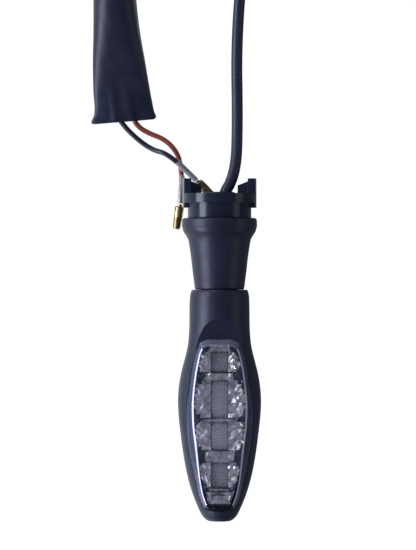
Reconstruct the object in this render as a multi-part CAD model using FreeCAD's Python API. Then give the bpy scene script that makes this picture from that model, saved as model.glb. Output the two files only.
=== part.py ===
import FreeCAD
import Part

import math
import os

from FreeCAD import Vector

# Motorcycle turn signal: a lamp head on a rubber stalk, its mounting base, the lead, an in-line
# module in a shrink sleeve and two wires with bullet terminals. Millimetres.
# The signal lies on its back: lens +Z, base end +Y, lamp tip -Y.
# The origin is the centre of the groove that the vehicle's panel sits in.

FLOOR = -13.75

# How far a cut runs past what it cuts, and the share of a run that a cord's bend takes
PAST = 2.0
BEND_SHARE = 0.45

# Lead and wire sizes
LEAD_R = 2.08
WIRE_R = 0.95

# Mounting base
FLANGE_R = 13.5
FLANGE_LOW, FLANGE_TOP = 3.5, 6.9
FLANGE_FLAT_Z = -9.8
NECK_R = FLANGE_R - 1.9
GROOVE_LOW, GROOVE_TOP = -2.0, 1.75
LUG_X, LUG_HALF_Z = FLANGE_R - 2.9, 4.2
EAR_TOP, EAR_IN, EAR_HALF_Z = 12.4, FLANGE_R - 3.2, 4.2
SPIGOT_R, SPIGOT_END = 7.4, -9.0
FIT = 0.05

# Bore for the lead, and the seat of the boot that seals it
BASE_BORE_R = LEAD_R + 0.9
BOOT_SEAT_R, BOOT_SEAT_Y, BOOT_TOP, BOOT_TAPER = 6.4, 2.6, 7.5, 1.2

# Webs between the flange and the ears, clear of the boot
WEB_IN, WEB_HIGH, WEB_LOW = BOOT_SEAT_R + 0.2, 11.4, 9.9
WEB_HALF_Z = 1.6

# Rubber stalk: (y, radius), from the shoulder down to the lamp
SHOULDER_R = 13.7
STALK_SIDE = [(-2.0, 13.0), (-2.6, 13.6), (-5.4, SHOULDER_R), (-7.1, 13.2), (-10.0, 11.5), (-13.7, 10.8),
              (-17.3, 10.3), (-21.0, 9.9), (-26.5, 9.2), (-27.9, 8.95)]
PLUG_R, PLUG_END = 6.7, -38.0
CLIP_GROOVE_R, CLIP_GROOVE_HIGH, CLIP_GROOVE_LOW = PLUG_R - 1.5, -31.0, -34.2
STALK_BORE_R = LEAD_R + 0.32

# Lamp housing: (y, half width, depth below the axis, height above it); a flat is cut on its back at FLOOR
HEAD_SECTIONS = [(-28.2, 10.1, 10.1, 10.1), (-29.4, 10.6, 10.6, 10.6), (-31.9, 10.9, 10.9, 10.9),
                 (-38.0, 11.0, 11.2, 10.9), (-42.9, 11.1, 11.8, 9.9), (-48.4, 11.6, 12.4, 10.4),
                 (-57.5, 13.8, 13.6, 12.0), (-69.0, 15.2, 14.1, 12.2), (-79.4, 14.4, 13.9, 12.0),
                 (-90.3, 12.9, 12.6, 11.6), (-101.3, 10.3, 10.6, 10.4), (-108.6, 7.4, 8.0, 8.6),
                 (-111.5, 5.6, 6.4, 7.0), (-112.5, 4.0, 4.8, 5.4)]
HEAD_SPAN, HEAD_WALL = 16.0, 2.2
COLLAR_BORE_R, COLLAR_BORE_END = PLUG_R + 0.3, -40.0
CLIP_HALF_W = CLIP_TOP = PLUG_R + 1.3
CLIP_END_Z = -10.4
CLIP_PLAY = 0.3
CAVITY_HIGH, CAVITY_LOW = -42.0, -109.0

# Lens: (x, y) along one side of its rim and of its front facet, from the upper end to the lower
LENS_RIM = [(0.0, -46.2), (5.0, -46.4), (6.9, -47.2), (7.9, -49.0), (9.2, -52.7), (11.3, -64.0), (12.0, -70.0),
            (11.8, -77.6), (11.0, -85.3), (9.6, -93.3), (8.5, -98.0), (6.3, -105.8), (5.3, -107.6), (3.2, -108.4),
            (0.0, -108.6)]
LENS_FACET = [(0.0, -48.6), (4.4, -48.7), (6.0, -49.2), (6.8, -50.5), (7.7, -54.0), (9.2, -63.5), (9.65, -70.0),
              (9.4, -77.6), (8.45, -85.3), (7.7, -92.5), (7.1, -97.5), (5.3, -104.8), (4.6, -106.3), (2.8, -107.0),
              (0.0, -107.1)]
LENS_WALL, LENS_EDGE_STEP = 1.4, 0.4
SEAT_Z, SEAL_TOP, LENS_EDGE_Z, LENS_FRONT_Z = 4.2, 4.8, 7.3, 12.6
LEDGE = 1.5

# Scoop in the collar's front, down to the lens: centre and radius of a hollow across the lamp
SCOOP_Y, SCOOP_R, SCOOP_LOW_Z, SCOOP_HALF_W, SCOOP_END = -47.5, 12.6, 7.25, 9.5, -50.0

# Reflector, board and light sources: (y of the upper edge, y of the lower edge) of each bowl
BOWLS = [(-50.4, -58.6), (-60.7, -75.3), (-75.9, -87.0), (-90.6, -100.6)]
TAIL_BOWL = (-101.4, -106.6)
REFLECTOR_LOW, REFLECTOR_TOP, REFLECTOR_INSET = -3.0, 4.0, 1.8
BOWL_MARGIN, BOWL_FLOOR_HALF, TAIL_FLOOR_HALF = 1.0, 3.2, 1.3
BOWL_FLARE = 0.5
BOARD_LOW, BOARD_TOP, BOARD_INSET = -5.4, -3.8, 2.4
BOARD_ENDS = (-49.6, -101.0)
LED_SIDE, LED_HEIGHT = 2.8, 0.7
DOME_R = 1.1
BLOCK_HALF_W, BLOCK_LOW, BLOCK_TOP = 3.0, -1.6, 2.4
FOOT_W, FOOT_L = 1.6, 1.0
SCREW_YS = (-59.6, -88.8)
SCREW_R, SCREW_HEAD_R, BOSS_R = 0.9, 1.35, 2.4
SCREW_HEAD_HEIGHT, SCREW_DEPTH, PILOT_DEPTH = 0.7, 5.0, 6.2
SHANK_R, BOARD_HOLE_R = SCREW_R - 0.1, SCREW_R + 0.2

# What is soldered behind the lamp's board: (x0, x1, y0, y1) and height
BOARD_RESISTOR_X, BOARD_RESISTOR_YS = (-5.2, -2.2), (-66.0, -70.0, -74.0)
BOARD_RESISTOR_HALF, BOARD_RESISTOR_HEIGHT = 0.8, 0.6
BOARD_DIODE, BOARD_DIODE_HEIGHT = (2.4, 5.2, -70.0, -65.6), 1.1
BOARD_REGULATOR, BOARD_REGULATOR_HEIGHT = (1.4, 6.0, -80.6, -75.2), 1.6

# Lead: a round cable in straight runs joined by arcs
LEAD_FLOOR = FLOOR + LEAD_R
LEAD_ROUTE = [(0.0, -4.6, 0.0), (0.3, 4.6, 0.0), (6.0, 14.2, -1.2), (6.7, 34.0, -8.6),
              (6.2, 62.0, LEAD_FLOOR), (8.6, 94.0, LEAD_FLOOR), (8.8, 135.0, LEAD_FLOOR),
              (-38.2, 136.5, LEAD_FLOOR), (-38.6, 91.0, -8.2)]
INNER_LEAD_ENDS = (-4.8, -38.6)

# Module sleeve: (y, full width, thickness, x of the centre, tilt in degrees, height of its underside)
SLEEVE = [(33.9, 24.2, 3.1, -35.35, 4.7, 0.0), (37.4, 22.8, 3.5, -35.1, 4.0, 0.0),
          (45.0, 21.2, 5.6, -36.0, 2.6, 0.0), (55.7, 19.3, 8.8, -36.95, 1.2, 0.0),
          (66.0, 17.3, 12.2, -37.7, 0.4, 0.0), (77.6, 15.9, 14.4, -38.35, 0.0, 0.0),
          (88.0, 15.5, 14.4, -38.6, 0.0, 0.1), (94.0, 9.6, 9.2, -38.6, 0.0, 1.2),
          (99.5, 5.4, 5.4, -38.53, 0.0, 2.2)]
SLEEVE_WALL = 0.45
SLEEVE_FLATNESS = 0.6
MODULE_BOARD = (-42.9, -33.9, 58.5, 89.5)
MODULE_BOARD_Z, MODULE_BOARD_T = -9.6, 1.4
MODULE_RESISTOR_R, MODULE_RESISTOR_XS, MODULE_RESISTOR_ENDS = 1.7, (-41.0, -36.6), (61.0, 70.0)
MODULE_CAPACITOR_R, MODULE_CAPACITOR_X, MODULE_CAPACITOR_ENDS = 2.5, -39.6, (73.5, 81.5)
MODULE_CHIP, MODULE_CHIP_HEIGHT = (-41.0, -36.2, 83.0, 87.2), 1.5

# Wires and their terminals
WIRE_FLOOR = FLOOR + WIRE_R
FLAT_Z = FLOOR + 1.55
BLACK_SLEEVE = [(-15.6, 18.9, -9.7), (-8.6, 12.1, -11.95)]
RED_SLEEVE = [(-13.75, 14.0, -12.5), (-14.5, 3.6, -12.05)]
CRIMP_R, CRIMP_SHARE = WIRE_R + FIT, 0.45
INSULATOR_BORE_R = CRIMP_R + 0.02
INSULATOR_WALL = 0.18
INSULATOR_R = INSULATOR_BORE_R + INSULATOR_WALL
LEAD_IN = 4.2
BLACK_ROUTE = [(-39.8, 57.0, -9.0), (-39.3, 44.0, -11.2), (-38.4, 36.4, FLAT_Z), (-33.0, 29.6, WIRE_FLOOR),
               (-25.2, 23.4, WIRE_FLOOR)]
RED_ROUTE = [(-35.4, 57.0, -9.0), (-33.9, 44.0, -11.2), (-31.9, 34.4, FLAT_Z), (-28.4, 30.4, WIRE_FLOOR),
             (-18.4, 26.6, WIRE_FLOOR)]
TERMINAL_R = 1.7
TERMINAL_Z = FLOOR + TERMINAL_R
BLACK_TERMINAL = ((-8.35, 11.85, TERMINAL_Z), (0.723, -0.691, 0.0))
RED_TERMINAL = ((-14.55, 3.25, TERMINAL_Z), (-0.145, -0.989, 0.0))
# Bullet terminal: (distance from its neck, radius)
BULLET_SIDE = [(0.0, 0.9), (0.7, 0.9), (0.75, 1.55), (1.2, TERMINAL_R), (4.6, TERMINAL_R), (5.0, 1.58),
               (8.8, 1.4), (9.3, 1.0)]

# Two wires inside the lamp, from the lead's end to the back of the board
BOARD_WIRE_R = 0.6
WIRE_CHANNEL = (-3.2, 3.2, -50.0, -40.0, -8.0, 1.5)
BOARD_WIRE_ROUTE = [(1.0, -38.8, 0.0), (1.2, -42.0, -0.8), (2.0, -45.6, -6.4), (2.2, -50.6, -6.4)]


def polygon(points):
    """Closed wire through the points."""
    corners = [Vector(*p) for p in points]
    return Part.makePolygon(corners + [corners[0]])


def turned(profile):
    """Solid of revolution about the Y axis; profile is (y, radius) pairs along the outside."""
    points = [(0.0, profile[0][0], 0.0)]
    points += [(radius, y, 0.0) for y, radius in profile]
    points += [(0.0, profile[-1][0], 0.0)]
    return Part.Face(polygon(points)).revolve(Vector(0, 0, 0), Vector(0, 1, 0), 360)


def rod(low, high, radius):
    """Cylinder along the Y axis between two heights."""
    return Part.makeCylinder(radius, high - low, Vector(0, low, 0), Vector(0, 1, 0))


def upright(y, low, high, radius):
    """Cylinder along the Z axis on the lamp's middle line."""
    return Part.makeCylinder(radius, high - low, Vector(0, y, low), Vector(0, 0, 1))


def block(x0, x1, y0, y1, z0, z1):
    """Box between two corners."""
    return Part.makeBox(x1 - x0, y1 - y0, z1 - z0, Vector(x0, y0, z0))


def smooth_loop(points):
    """Closed smooth wire through the points."""
    curve = Part.BSplineCurve()
    curve.interpolate(Points=[Vector(*p) for p in points], PeriodicFlag=True)
    return Part.Wire([curve.toShape()])


def outline(side, inset, z):
    """Smooth closed outline at height z from one side's points, drawn in by the inset."""
    loop = side + [(-x, y) for x, y in reversed(side[1:-1])]
    drawn = []
    for k, (x, y) in enumerate(loop):
        before, after = loop[k - 1], loop[(k + 1) % len(loop)]
        along_x, along_y = after[0] - before[0], after[1] - before[1]
        length = math.hypot(along_x, along_y)
        drawn.append((x + inset * along_y / length, y - inset * along_x / length, z))
    return smooth_loop(drawn)


def prism(wire, z_from, z_to):
    """Straight solid on a flat outline drawn at z_from."""
    return Part.Face(wire).extrude(Vector(0, 0, z_to - z_from))


def rim_prism(inset, z_from, z_to):
    """Straight solid with the lens rim's outline, drawn in by the inset."""
    return prism(outline(LENS_RIM, inset, z_from), z_from, z_to)


def route_wire(points, name):
    """Wire of straight runs joined by tangent arcs; prints the radius of each arc."""
    points = [Vector(*p) for p in points]
    edges = []
    start = points[0]
    for before, corner, after in zip(points, points[1:], points[2:]):
        arriving = (corner - before).normalize()
        leaving = (after - corner).normalize()
        turn = arriving.getAngle(leaving)
        shorter = min((corner - before).Length, (after - corner).Length)
        reach = BEND_SHARE * shorter
        radius = reach / math.tan(turn / 2)
        enter = corner - arriving * reach
        leave = corner + leaving * reach
        bisector = (leaving - arriving).normalize()
        middle = corner + bisector * (radius / math.cos(turn / 2) - radius)
        edges.append(Part.LineSegment(start, enter).toShape())
        edges.append(Part.Arc(enter, middle, leave).toShape())
        start = leave
        print(name, "turn", round(math.degrees(turn)), "radius", round(radius, 1))
    edges.append(Part.LineSegment(start, points[-1]).toShape())
    return Part.Wire(edges)


def tube(points, radius, name):
    """Solid round cord along a route."""
    path = route_wire(points, name)
    start = Vector(*points[0])
    heading = (Vector(*points[1]) - start).normalize()
    ring = Part.Wire([Part.Circle(start, heading, radius).toShape()])
    solid = Part.Solid(path.makePipeShell([ring], True, False))
    straight = math.pi * radius ** 2 * path.Length
    print(name, "length", round(path.Length, 1), "volume ratio", round(solid.Volume / straight, 4))
    return solid


def head_section(y, half_width, depth, height):
    """Closed egg-shaped section of the lamp at one station."""
    count = 16
    points = []
    for i in range(count):
        angle = 2 * math.pi * i / count
        up = math.sin(angle)
        points.append((half_width * math.cos(angle), y, up * (height if up > 0 else depth)))
    return smooth_loop(points)


def mirrored(shape):
    """The shape and its mirror image across the X = 0 plane."""
    return shape.fuse(shape.mirror(Vector(0, 0, 0), Vector(1, 0, 0)))


def make_mount_base():
    """Flange with a flat at the back, neck, ears, lugs and the spigot that the rubber is moulded round."""
    flange = rod(FLANGE_LOW, FLANGE_TOP, FLANGE_R)
    flange = flange.common(block(-FLANGE_R, FLANGE_R, FLANGE_LOW, FLANGE_TOP, FLANGE_FLAT_Z, FLANGE_R))
    lug = block(LUG_X, FLANGE_R, GROOVE_TOP, FLANGE_LOW, -LUG_HALF_Z, LUG_HALF_Z)
    lug = lug.common(rod(GROOVE_TOP, FLANGE_LOW, FLANGE_R))
    post = block(EAR_IN, FLANGE_R, FLANGE_TOP, EAR_TOP, -EAR_HALF_Z, EAR_HALF_Z)
    post = post.common(rod(FLANGE_TOP, EAR_TOP, FLANGE_R))
    web_side = polygon([(WEB_IN, FLANGE_TOP, -WEB_HALF_Z), (EAR_IN, FLANGE_TOP, -WEB_HALF_Z),
                        (EAR_IN, WEB_HIGH, -WEB_HALF_Z), (WEB_IN, WEB_LOW, -WEB_HALF_Z)])
    web = prism(web_side, -WEB_HALF_Z, WEB_HALF_Z)
    sides = mirrored(lug.fuse(post).fuse(web))
    body = flange.fuse(rod(GROOVE_LOW, FLANGE_LOW, NECK_R)).fuse(rod(SPIGOT_END, GROOVE_LOW, SPIGOT_R))
    body = body.fuse(sides)
    body = body.cut(rod(SPIGOT_END, FLANGE_TOP, BASE_BORE_R)).cut(rod(BOOT_SEAT_Y, FLANGE_TOP, BOOT_SEAT_R))
    return body.removeSplitter()


def make_cable_boot(lead_path_tube):
    """Soft boot that seals the lead where it leaves the base."""
    boot = turned([(BOOT_SEAT_Y, BOOT_SEAT_R), (FLANGE_TOP, BOOT_SEAT_R), (BOOT_TOP, BOOT_SEAT_R - BOOT_TAPER)])
    return boot.cut(lead_path_tube)


def make_rubber_stalk():
    """Tapered stalk with its shoulder, the plug that enters the lamp and the groove for the clip."""
    profile = STALK_SIDE + [(STALK_SIDE[-1][0], PLUG_R), (CLIP_GROOVE_HIGH, PLUG_R),
                            (CLIP_GROOVE_HIGH, CLIP_GROOVE_R), (CLIP_GROOVE_LOW, CLIP_GROOVE_R),
                            (CLIP_GROOVE_LOW, PLUG_R), (PLUG_END, PLUG_R)]
    stalk = turned(profile)
    stalk = stalk.cut(rod(SPIGOT_END - FIT, GROOVE_LOW, SPIGOT_R + FIT))
    return stalk.cut(rod(PLUG_END, SPIGOT_END, STALK_BORE_R))


def make_head_housing():
    """Almond-shaped shell with a collar for the stalk, a lens seat and bosses for the board."""
    outer = Part.makeLoft([head_section(*s) for s in HEAD_SECTIONS], True, False)
    outer = outer.cut(block(-HEAD_SPAN, HEAD_SPAN, CAVITY_LOW, CAVITY_HIGH, 2 * FLOOR, FLOOR))
    inner_sections = []
    for y, half_width, depth, height in HEAD_SECTIONS:
        if CAVITY_LOW < y < CAVITY_HIGH:
            inner_sections.append(head_section(y, half_width - HEAD_WALL, depth - HEAD_WALL, height))
    inner = Part.makeLoft(inner_sections, True, False)
    cavity = inner.common(rim_prism(LEDGE, FLOOR, LENS_FRONT_Z))
    shell = outer.cut(cavity).cut(make_scoop())
    shell = shell.cut(rim_prism(-FIT, SEAT_Z, LENS_FRONT_Z + PAST))
    shell = shell.cut(rod(COLLAR_BORE_END, HEAD_SECTIONS[0][0], COLLAR_BORE_R))
    shell = shell.cut(block(*WIRE_CHANNEL))
    shell = shell.cut(clip_space(CLIP_HALF_W + FIT, CLIP_TOP + FIT, FIT))
    for y in SCREW_YS:
        shell = shell.fuse(upright(y, FLOOR, BOARD_LOW, BOSS_R).common(outer))
        shell = shell.cut(upright(y, BOARD_LOW - PILOT_DEPTH, BOARD_LOW, SCREW_R))
    return shell


def make_scoop():
    """Hollow that leads the collar's front down to the lens."""
    centre_z = SCOOP_LOW_Z + SCOOP_R
    start = Vector(-SCOOP_HALF_W, SCOOP_Y, centre_z)
    hollow = Part.makeCylinder(SCOOP_R, 2 * SCOOP_HALF_W, start, Vector(1, 0, 0))
    upper = block(-SCOOP_HALF_W, SCOOP_HALF_W, SCOOP_Y, SCOOP_Y + SCOOP_R, SCOOP_LOW_Z, centre_z)
    lower = block(-SCOOP_HALF_W, SCOOP_HALF_W, SCOOP_END, SCOOP_Y, SCOOP_LOW_Z, centre_z)
    return hollow.common(upper).fuse(lower)


def clip_space(half_width, top, margin):
    """Round-topped slot, open at the back of the collar."""
    low, high = CLIP_GROOVE_LOW + CLIP_PLAY - margin, CLIP_GROOVE_HIGH - CLIP_PLAY + margin
    slot = block(-half_width, half_width, low, high, FLOOR, 0.0)
    arch = rod(low, high, half_width).common(block(-half_width, half_width, low, high, 0.0, top))
    return slot.fuse(arch)


def make_stalk_clip():
    """Horseshoe clip that holds the stalk's groove in the collar."""
    clip = clip_space(CLIP_HALF_W, CLIP_TOP, 0.0)
    clip = clip.common(rod(CLIP_GROOVE_LOW, CLIP_GROOVE_HIGH, -CLIP_END_Z))
    reach = CLIP_GROOVE_R + CLIP_PLAY
    mouth = block(-reach, reach, CLIP_GROOVE_LOW, CLIP_GROOVE_HIGH, FLOOR, 0.0)
    return clip.cut(rod(CLIP_GROOVE_LOW, CLIP_GROOVE_HIGH, reach).fuse(mouth))


def make_lens():
    """Clear cover: a rim wall, sloping bevels and a raised front facet, hollow behind."""
    def cover(inset, low, edge_z, front_z):
        wall = rim_prism(inset, low, edge_z)
        rim = outline(LENS_RIM, inset, edge_z)
        facet = outline(LENS_FACET, inset, front_z)
        return wall.fuse(Part.makeLoft([rim, facet], True, True))
    outside = cover(0.0, SEAL_TOP, LENS_EDGE_Z, LENS_FRONT_Z)
    inside = cover(LENS_WALL, SEAL_TOP, LENS_EDGE_Z - LENS_EDGE_STEP, LENS_FRONT_Z - LENS_WALL)
    return outside.cut(inside).removeSplitter()


def make_lens_seal():
    """Flat gasket on the housing's ledge."""
    return rim_prism(0.0, SEAT_Z, SEAL_TOP).cut(rim_prism(LEDGE, SEAT_Z, SEAL_TOP))


def rim_half_width(y):
    """Half width of the lens rim at one station."""
    for (x0, y0), (x1, y1) in zip(LENS_RIM, LENS_RIM[1:]):
        if y1 <= y <= y0:
            return x0 + (x1 - x0) * (y - y0) / (y1 - y0)
    return 0.0


def bowl(high, low, floor_half_width):
    """Flared bowl between two stations, wide at the top and narrow at the board."""
    margin = REFLECTOR_INSET + BOWL_MARGIN
    top = polygon([(-rim_half_width(high) + margin, high, REFLECTOR_TOP),
                   (rim_half_width(high) - margin, high, REFLECTOR_TOP),
                   (rim_half_width(low) - margin, low, REFLECTOR_TOP),
                   (-rim_half_width(low) + margin, low, REFLECTOR_TOP)])
    half, floor_high, floor_low = floor_half_width, high - BOWL_FLARE, low + BOWL_FLARE
    bottom = polygon([(-half, floor_high, REFLECTOR_LOW), (half, floor_high, REFLECTOR_LOW),
                      (half, floor_low, REFLECTOR_LOW), (-half, floor_low, REFLECTOR_LOW)])
    return Part.makeLoft([bottom, top], True, True)


def make_reflector():
    """Metallised tray with one open bowl over each light source."""
    tray = rim_prism(REFLECTOR_INSET, REFLECTOR_LOW, REFLECTOR_TOP)
    for high, low in BOWLS:
        tray = tray.cut(bowl(high, low, BOWL_FLOOR_HALF))
    return tray.cut(bowl(*TAIL_BOWL, TAIL_FLOOR_HALF))


def make_circuit_board():
    """Board behind the reflector, with two screw holes."""
    board = rim_prism(BOARD_INSET, BOARD_LOW, BOARD_TOP)
    board = board.common(block(-HEAD_SPAN, HEAD_SPAN, BOARD_ENDS[1], BOARD_ENDS[0], BOARD_LOW, BOARD_TOP))
    for y in SCREW_YS:
        board = board.cut(upright(y, BOARD_LOW - PAST, BOARD_TOP + PAST, BOARD_HOLE_R))
    return board


def make_led(y):
    """Square light source with a clear dome, on the board."""
    half = LED_SIDE / 2
    body = block(-half, half, y - half, y + half, BOARD_TOP, BOARD_TOP + LED_HEIGHT)
    centre = Vector(0, y, BOARD_TOP + LED_HEIGHT)
    dome = Part.makeSphere(DOME_R, centre).common(
        block(-half, half, y - half, y + half, centre.z, centre.z + DOME_R))
    return body.fuse(dome)


def make_light_block(high, low):
    """Clear block that spreads one source's light; two feet stand it on the bowl's floor edge."""
    middle = (high + low) / 2
    half_length = (high - low) / 2 - BOWL_FLARE - FIT
    body = block(-BLOCK_HALF_W, BLOCK_HALF_W, middle - half_length, middle + half_length, BLOCK_LOW, BLOCK_TOP)
    for side in (-1, 1):
        foot_y = middle + side * (half_length - FOOT_L / 2)
        body = body.fuse(block(-FOOT_W / 2, FOOT_W / 2, foot_y - FOOT_L / 2, foot_y + FOOT_L / 2, BOARD_TOP,
                               BLOCK_LOW))
    return body.removeSplitter()


def make_board_screw(y):
    """Pan-head screw through the board into its boss."""
    head = upright(y, BOARD_TOP, BOARD_TOP + SCREW_HEAD_HEIGHT, SCREW_HEAD_R)
    return head.fuse(upright(y, BOARD_LOW - SCREW_DEPTH, BOARD_TOP, SHANK_R))


def make_board_parts():
    """Resistors, a protection diode and a regulator soldered behind the board."""
    pieces = {}
    half = BOARD_RESISTOR_HALF
    for number, y in enumerate(BOARD_RESISTOR_YS, start=1):
        pieces["board_resistor_%d" % number] = block(*BOARD_RESISTOR_X, y - half, y + half,
                                                     BOARD_LOW - BOARD_RESISTOR_HEIGHT, BOARD_LOW)
    pieces["board_diode"] = block(*BOARD_DIODE, BOARD_LOW - BOARD_DIODE_HEIGHT, BOARD_LOW)
    pieces["board_regulator"] = block(*BOARD_REGULATOR, BOARD_LOW - BOARD_REGULATOR_HEIGHT, BOARD_LOW)
    return pieces


def make_board_wires():
    """Two thin wires from the lead's end to the back of the board."""
    right = tube(BOARD_WIRE_ROUTE, BOARD_WIRE_R, "board wire")
    left = right.mirror(Vector(0, 0, 0), Vector(1, 0, 0))
    return {"board_wire_red": right, "board_wire_black": left}


def make_module_sleeve():
    """Shrink sleeve: flat at the wires' end, nearly round over the module, tight on the lead."""
    def skin(shrink):
        return Part.makeLoft([sleeve_ring(s, shrink) for s in SLEEVE], True, False)
    return skin(0.0).cut(skin(SLEEVE_WALL))


def signed_power(value, power):
    """Power of a number that keeps its sign."""
    return math.copysign(abs(value) ** power, value)


def sleeve_ring(section, shrink):
    """Flattened ring of the sleeve at one station, at its height above the floor."""
    y, width, thickness, centre_x, tilt, lift = section
    centre_z = FLOOR + lift + thickness / 2
    roundness = SLEEVE_FLATNESS + (1 - SLEEVE_FLATNESS) * thickness / width
    slope = math.radians(tilt)
    count = 20
    ring = []
    for i in range(count):
        angle = 2 * math.pi * i / count
        across = (width / 2 - shrink) * signed_power(math.cos(angle), roundness)
        up = (thickness / 2 - shrink) * signed_power(math.sin(angle), roundness)
        ring.append((centre_x + across * math.cos(slope), y + across * math.sin(slope), centre_z + up))
    return smooth_loop(ring)


def make_module_board():
    """Small board inside the sleeve."""
    x0, x1, y0, y1 = MODULE_BOARD
    return block(x0, x1, y0, y1, MODULE_BOARD_Z, MODULE_BOARD_Z + MODULE_BOARD_T)


def make_module_parts():
    """Two wound resistors, a capacitor and a chip on the module's board."""
    top = MODULE_BOARD_Z + MODULE_BOARD_T
    pieces = {}
    for number, x in enumerate(MODULE_RESISTOR_XS, start=1):
        pieces["module_resistor_%d" % number] = lying_cylinder(x, top, MODULE_RESISTOR_ENDS, MODULE_RESISTOR_R)
    pieces["module_capacitor"] = lying_cylinder(MODULE_CAPACITOR_X, top, MODULE_CAPACITOR_ENDS,
                                                MODULE_CAPACITOR_R)
    pieces["module_chip"] = block(*MODULE_CHIP, top, top + MODULE_CHIP_HEIGHT)
    return pieces


def lying_cylinder(x, rests_on, ends, radius):
    """Cylinder along Y that lies on a surface."""
    start = Vector(x, ends[0], rests_on + radius)
    return Part.makeCylinder(radius, ends[1] - ends[0], start, Vector(0, 1, 0))


def along(start, direction, profile):
    """Solid of revolution about a line from the start; profile is (distance, radius) pairs."""
    solid = turned(profile)
    turn = FreeCAD.Rotation(Vector(0, 1, 0), Vector(*direction))
    solid.Placement = FreeCAD.Placement(Vector(*start), turn)
    return solid


def between(ends, share):
    """Point at a share of the way from the first end to the second."""
    first, second = Vector(*ends[0]), Vector(*ends[1])
    return first + (second - first) * share


def heading(ends):
    """Unit direction from the first end to the second."""
    return (Vector(*ends[1]) - Vector(*ends[0])).normalize()


def make_insulator(ends):
    """Clear sleeve over a wire's end and its crimp."""
    length = (Vector(*ends[1]) - Vector(*ends[0])).Length
    outer = along(ends[0], heading(ends), [(0.0, INSULATOR_R), (length, INSULATOR_R)])
    return outer.cut(along(ends[0], heading(ends), [(0.0, INSULATOR_BORE_R), (length, INSULATOR_BORE_R)]))


def make_wire(route, ends, name):
    """Wire along its route and straight into its insulator, as far as the crimp."""
    corner = Vector(*ends[0]) - heading(ends) * LEAD_IN
    return tube(route + [tuple(corner), tuple(between(ends, 1 - CRIMP_SHARE))], WIRE_R, name)


def make_crimp(ends):
    """Crimp barrel on the wire's end, inside the insulator."""
    start = between(ends, 1 - CRIMP_SHARE)
    length = (Vector(*ends[1]) - start).Length
    return along(start, heading(ends), [(0.0, CRIMP_R), (length, CRIMP_R)])


def make_bullet(terminal):
    """Brass bullet terminal."""
    start, direction = terminal
    return along(start, direction, BULLET_SIDE)


def export(name, shape):
    """Write one piece."""
    print(name, "solids", len(shape.Solids), "valid", shape.isValid(), "volume", round(shape.Volume, 1))
    shape.exportStep("parts/" + name + ".step")


def main():
    os.makedirs("parts", exist_ok=True)
    pieces = {
        "mount_base": make_mount_base(),
        "cable_boot": make_cable_boot(tube(LEAD_ROUTE, LEAD_R + FIT, "lead space")),
        "lead_cable": tube(LEAD_ROUTE, LEAD_R, "lead"),
        "rubber_stalk": make_rubber_stalk(),
        "inner_lead": rod(INNER_LEAD_ENDS[1], INNER_LEAD_ENDS[0], LEAD_R),
        "head_housing": make_head_housing(),
        "stalk_clip": make_stalk_clip(),
        "lens": make_lens(),
        "lens_seal": make_lens_seal(),
        "reflector": make_reflector(),
        "circuit_board": make_circuit_board(),
        "module_sleeve": make_module_sleeve(),
        "module_board": make_module_board(),
    }
    pieces.update(make_board_parts())
    pieces.update(make_board_wires())
    pieces.update(make_module_parts())
    for colour, route, ends, terminal in (("black", BLACK_ROUTE, BLACK_SLEEVE, BLACK_TERMINAL),
                                          ("red", RED_ROUTE, RED_SLEEVE, RED_TERMINAL)):
        pieces[colour + "_wire"] = make_wire(route, ends, colour + " wire")
        pieces["insulator_" + colour] = make_insulator(ends)
        pieces["crimp_" + colour] = make_crimp(ends)
        pieces["bullet_" + colour] = make_bullet(terminal)
    for number, (high, low) in enumerate(BOWLS, start=1):
        pieces["led_%d" % number] = make_led((high + low) / 2)
        pieces["light_block_%d" % number] = make_light_block(high, low)
    for number, y in enumerate(SCREW_YS, start=1):
        pieces["board_screw_%d" % number] = make_board_screw(y)
    for name, shape in pieces.items():
        export(name, shape)


main()
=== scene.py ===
import math
import random

import bmesh
import bpy
from mathutils import Matrix, Vector


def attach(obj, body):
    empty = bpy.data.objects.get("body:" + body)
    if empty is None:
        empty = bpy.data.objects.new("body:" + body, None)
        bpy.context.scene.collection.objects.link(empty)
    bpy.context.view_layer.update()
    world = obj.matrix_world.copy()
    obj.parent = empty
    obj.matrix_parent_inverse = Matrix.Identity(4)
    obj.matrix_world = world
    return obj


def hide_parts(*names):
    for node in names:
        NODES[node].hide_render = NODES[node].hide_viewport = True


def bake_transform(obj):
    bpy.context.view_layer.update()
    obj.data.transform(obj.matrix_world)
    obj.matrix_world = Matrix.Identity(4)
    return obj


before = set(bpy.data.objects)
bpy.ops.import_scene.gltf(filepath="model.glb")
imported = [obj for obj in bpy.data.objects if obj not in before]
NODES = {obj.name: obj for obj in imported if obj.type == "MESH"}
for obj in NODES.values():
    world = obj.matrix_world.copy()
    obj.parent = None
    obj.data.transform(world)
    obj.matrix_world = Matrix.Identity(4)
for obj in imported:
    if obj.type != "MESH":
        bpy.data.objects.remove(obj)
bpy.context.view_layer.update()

# Lengths are in millimetres and turned into metres by MM where a mesh is made. A _POINTS value is how many
# points each ring of a piece has. At rest every piece is clear of the floor, FLOOR_DROP below FLOOR_Z.
MM = 0.001
FLOOR_Z = -13.75
FLOOR_DROP = 0.15
TAU = 2 * math.pi
TOLERANCE = 0.01

# Camera: looks straight down on the lamp
VIEW_CENTRE = (-4.2, -22.8)
VIEW_HEIGHT = 200.8
CAMERA_DISTANCE = 1200.0
SENSOR_HEIGHT = 24.0

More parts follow.
